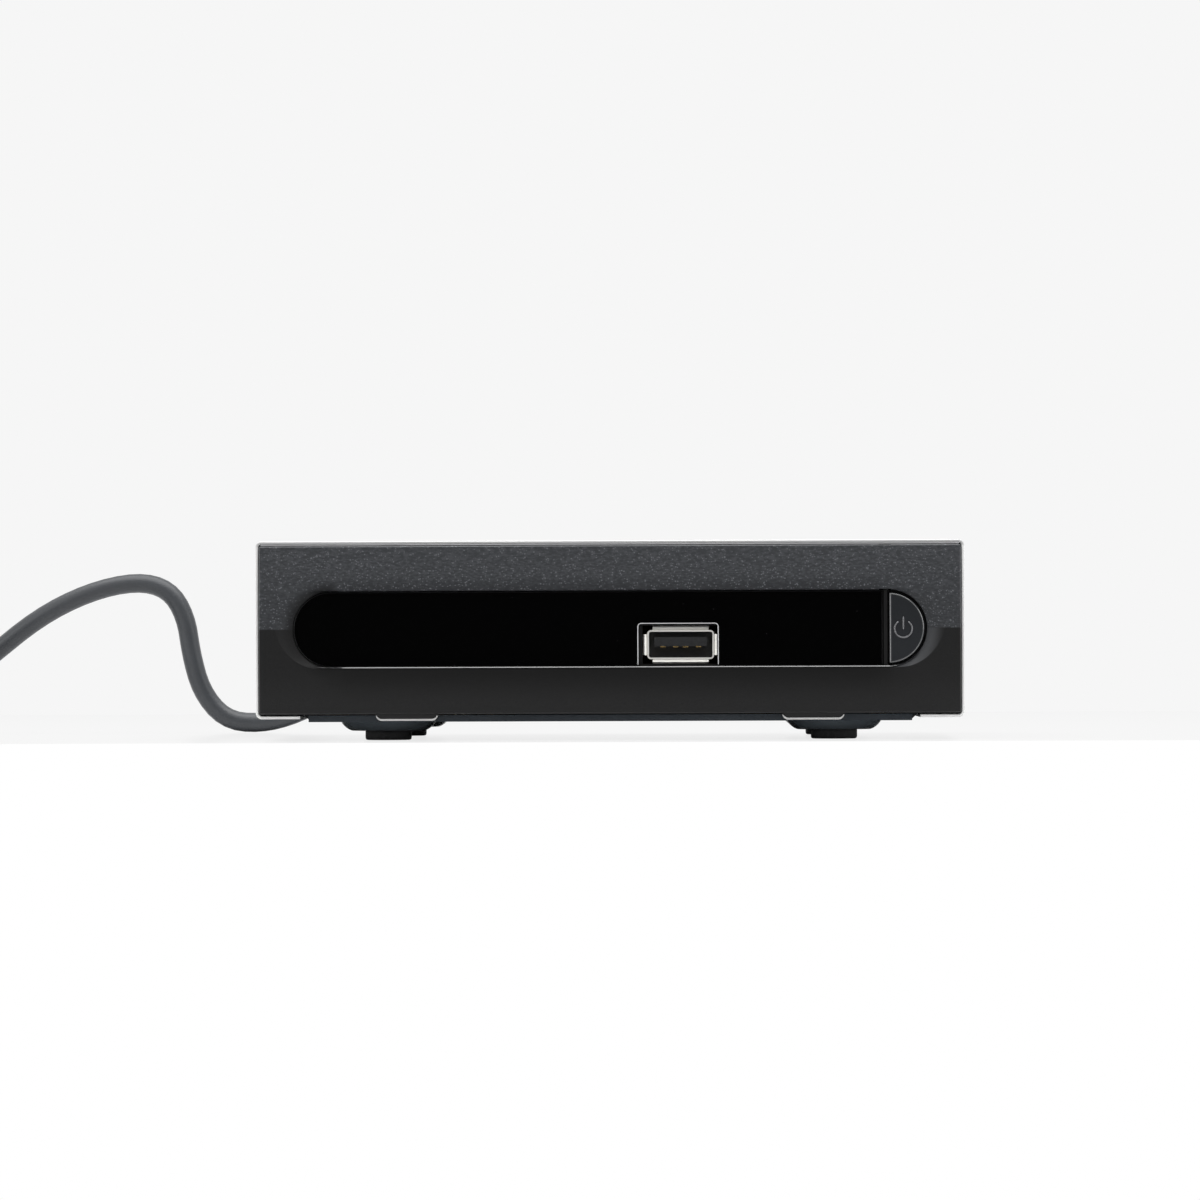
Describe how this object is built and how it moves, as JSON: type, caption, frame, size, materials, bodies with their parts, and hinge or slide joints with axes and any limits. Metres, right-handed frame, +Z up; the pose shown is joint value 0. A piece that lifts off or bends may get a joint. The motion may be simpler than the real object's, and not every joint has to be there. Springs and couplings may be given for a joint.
{
  "type": "tv decoder box",
  "caption": "Small free-standing television decoder box with a creased front, a long dark window, a data port, a push-in power button, rear sockets and a fixed mains cord with its plug.",
  "frame": {"origin": "on the table plane under the middle of the box, measured without the mains cord and its pieces", "axes": "-Y is the front with the window and the button, +X is to the right seen from the front, +Z is up"},
  "size_m": [0.2955, 0.1684, 0.0392],
  "materials": {
    "cover_paint": "satin powder coat",
    "pan_paint": "satin",
    "fascia_plastic": "fine texture",
    "window_plastic": "polished",
    "button_plastic": "satin",
    "rubber": "matt",
    "cord_pvc": "soft satin",
    "plug_pvc": "satin",
    "nickel": "bright plated",
    "tinned_steel": "satin",
    "zinc_steel": "satin",
    "gold_contact": "plated",
    "led_plastic": "smooth",
    "socket_plastic": "smooth",
    "circuit_board": "solder mask",
    "pale_board": "satin",
    "chip_epoxy": "matt",
    "aluminium": "extruded",
    "capacitor_sleeve": "shrink sleeve",
    "ferrite": "sintered",
    "winding_tape": "tape",
    "fuse_body": "smooth",
    "insulating_film": "film",
    "light_pipe": "clear",
    "dark_filter": "clear dark",
    "connector_nylon": "smooth",
    "ribbon_film": "film"
  },
  "bodies": {
    "housing": {"top_cover": "cover_paint", "base_pan": "pan_paint", "front_fascia": "fascia_plastic", "lens": "window_plastic", "foot_front_left": "rubber", "foot_front_right": "rubber", "foot_rear_left": "rubber", "foot_rear_right": "rubber", "data_port_shell": "nickel", "data_port_tongue": "socket_plastic", "data_port_contacts": "gold_contact", "mains_cord": "cord_pvc", "mains_coil": "cord_pvc", "coil_tie": "plug_pvc", "plug_relief": "plug_pvc", "plug_body": "plug_pvc", "plug_pins": "nickel", "cord_gland": "plug_pvc", "front_board": "pale_board", "front_board_screws": "zinc_steel", "switch_body": "socket_plastic", "ir_receiver": "dark_filter", "status_led": "led_plastic", "light_guide": "light_pipe", "main_board": "circuit_board", "power_board": "pale_board", "insulation_sheet": "insulating_film", "board_standoffs": "zinc_steel", "board_screws": "zinc_steel", "main_chip": "chip_epoxy", "chip_heatsink": "aluminium", "memory_chips": "chip_epoxy", "crystal": "tinned_steel", "main_capacitors": "capacitor_sleeve", "tuner_can": "tinned_steel", "tuner_lid": "tinned_steel", "aerial_in_sleeve": "nickel", "aerial_out_sleeve": "nickel", "aerial_contacts": "nickel", "aerial_insulators": "connector_nylon", "av_socket_shell": "tinned_steel", "av_socket_body": "socket_plastic", "video_port_shell": "nickel", "video_port_tongue": "socket_plastic", "transformer_core": "ferrite", "transformer_winding": "winding_tape", "bulk_capacitor": "capacitor_sleeve", "output_capacitors": "capacitor_sleeve", "power_heatsink": "aluminium", "power_transistor": "chip_epoxy", "fuse": "fuse_body", "line_choke": "ferrite", "mains_leads": "cord_pvc", "power_connector": "connector_nylon", "main_connector": "connector_nylon", "board_harness": "ribbon_film", "front_ribbon": "ribbon_film", "cover_screws": "zinc_steel"},
    "button": {"power_button": "button_plastic"},
    "plunger": {"switch_plunger": "chip_epoxy"}
  },
  "joints": [
    {"name": "power_button", "type": "slide", "parent": "housing", "child": "button", "axis": [0, 1, 0], "range_m": [0, 0.00035], "stiffness_N_per_m": 300},
    {"name": "switch_plunger", "type": "slide", "parent": "housing", "child": "plunger", "axis": [0, 1, 0], "range_m": [0, 0.00035]}
  ],
  "couplings": [
    {"joint": "switch_plunger", "follows": "power_button", "ratio": 1}
  ]
}
